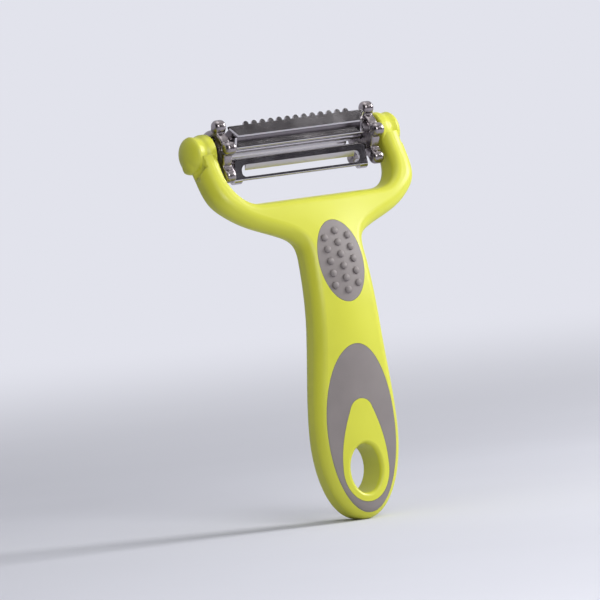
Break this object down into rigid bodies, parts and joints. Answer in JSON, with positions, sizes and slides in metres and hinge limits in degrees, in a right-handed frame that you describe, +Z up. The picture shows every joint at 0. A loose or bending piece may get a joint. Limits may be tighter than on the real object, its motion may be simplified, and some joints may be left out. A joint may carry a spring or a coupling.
{
  "type": "vegetable peeler",
  "caption": "Y-shaped vegetable peeler with a moulded handle, soft grip pads, a hang hole and a turning head of swivelling plain, serrated and toothed blades.",
  "frame": {"origin": "middle of the bounding box in X and Y, at the tip of the handle in Z", "axes": "+Z up the handle, +X along the head's axis, -Y is the front with the grip pads"},
  "size_m": [0.0972, 0.0442, 0.1554],
  "materials": {
    "lime_plastic": "satin",
    "grey_soft_grip": "matte",
    "sleeve_plastic": "satin",
    "plated_casting": "polished dark nickel",
    "blade_steel": "polished",
    "pin_steel": "polished"
  },
  "bodies": {
    "handle": {"handle_core": "lime_plastic", "neck_grip_pad": "grey_soft_grip", "heel_grip_pad": "grey_soft_grip", "left_bearing_sleeve": "sleeve_plastic", "right_bearing_sleeve": "sleeve_plastic", "left_spring_washer": "pin_steel", "right_spring_washer": "pin_steel"},
    "head": {"left_end_plate": "plated_casting", "right_end_plate": "plated_casting", "left_trunnion_screw": "pin_steel", "right_trunnion_screw": "pin_steel", "head_tie_rod": "pin_steel", "plain_blade_left_pin": "pin_steel", "plain_blade_right_pin": "pin_steel", "serrated_blade_left_pin": "pin_steel", "serrated_blade_right_pin": "pin_steel", "toothed_blade_left_pin": "pin_steel", "toothed_blade_right_pin": "pin_steel"},
    "plain_blade_body": {"plain_blade": "blade_steel"},
    "serrated_blade_body": {"serrated_blade": "blade_steel"},
    "toothed_blade_body": {"toothed_blade": "blade_steel"}
  },
  "joints": [
    {"name": "head_turn", "type": "hinge", "parent": "handle", "child": "head", "pos_m": [0, 0.00871, 0.143], "axis": [1, 0, 0], "continuous": true},
    {"name": "plain_blade_swivel", "type": "hinge", "parent": "head", "child": "plain_blade_body", "pos_m": [0, 0.00622, 0.13832], "axis": [1, 0, 0], "range_deg": [-25, 25]},
    {"name": "serrated_blade_swivel", "type": "hinge", "parent": "head", "child": "serrated_blade_body", "pos_m": [0, 0.01401, 0.14319], "axis": [1, 0, 0], "range_deg": [-25, 25]},
    {"name": "toothed_blade_swivel", "type": "hinge", "parent": "head", "child": "toothed_blade_body", "pos_m": [0, 0.00681, 0.14795], "axis": [1, 0, 0], "range_deg": [-25, 25]}
  ]
}
